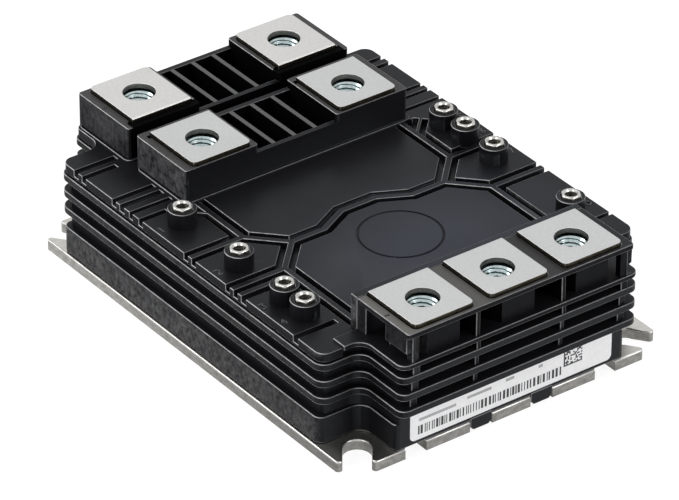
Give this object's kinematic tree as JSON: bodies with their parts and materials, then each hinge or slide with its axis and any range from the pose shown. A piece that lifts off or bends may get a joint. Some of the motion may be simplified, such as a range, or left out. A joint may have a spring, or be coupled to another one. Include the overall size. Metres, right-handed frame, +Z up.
{
  "type": "silicon carbide mosfet module",
  "caption": "Half-bridge power module: plated base plate, ribbed black housing, DC terminal tower, AC screw terminals and small auxiliary terminals on the lid.",
  "frame": {"origin": "centre of the base plate's underside", "axes": "+X across the module, +Y along it from the AC end to the DC end, +Z up out of the base plate"},
  "size_m": [0.1, 0.1415, 0.04],
  "materials": {
    "nickel_plate": "satin nickel plating",
    "black_plastic": "satin glass-filled plastic",
    "plated_busbar": "satin plated copper",
    "plated_terminal": "bright plated brass",
    "zinc_steel": "zinc plated",
    "label_film": "white satin film",
    "adhesive": "cured adhesive",
    "gel": "clear soft gel",
    "tile_ceramic": "fine ceramic",
    "copper": "etched copper",
    "chip": "polished chip",
    "wire_aluminium": "drawn wire"
  },
  "bodies": {
    "root": {"base_plate": "nickel_plate", "frame_seal": "adhesive", "label": "label_film", "thermistor": "chip", "potting_gel": "gel", "housing_frame": "black_plastic", "housing_lid": "black_plastic", "dc_rear_busbar": "plated_busbar", "dc_front_busbar": "plated_busbar", "ac_busbar": "plated_busbar", "dc_terminal_nuts": "zinc_steel", "ac_terminal_nuts": "zinc_steel", "aux_terminal_1": "plated_terminal", "aux_terminal_2": "plated_terminal", "aux_terminal_3": "plated_terminal", "aux_terminal_4": "plated_terminal", "aux_terminal_5": "plated_terminal", "aux_terminal_6": "plated_terminal", "aux_terminal_7": "plated_terminal", "aux_terminal_8": "plated_terminal", "substrate_1": "tile_ceramic", "substrate_2": "tile_ceramic", "substrate_3": "tile_ceramic", "substrate_4": "tile_ceramic", "substrate_5": "tile_ceramic", "substrate_6": "tile_ceramic", "copper_1": "copper", "copper_2": "copper", "copper_3": "copper", "copper_4": "copper", "copper_5": "copper", "copper_6": "copper", "mosfet_dies_1": "chip", "mosfet_dies_2": "chip", "mosfet_dies_3": "chip", "mosfet_dies_4": "chip", "mosfet_dies_5": "chip", "mosfet_dies_6": "chip", "bond_wires_1": "wire_aluminium", "bond_wires_2": "wire_aluminium", "bond_wires_3": "wire_aluminium", "bond_wires_4": "wire_aluminium", "bond_wires_5": "wire_aluminium", "bond_wires_6": "wire_aluminium"}
  },
  "joints": []
}
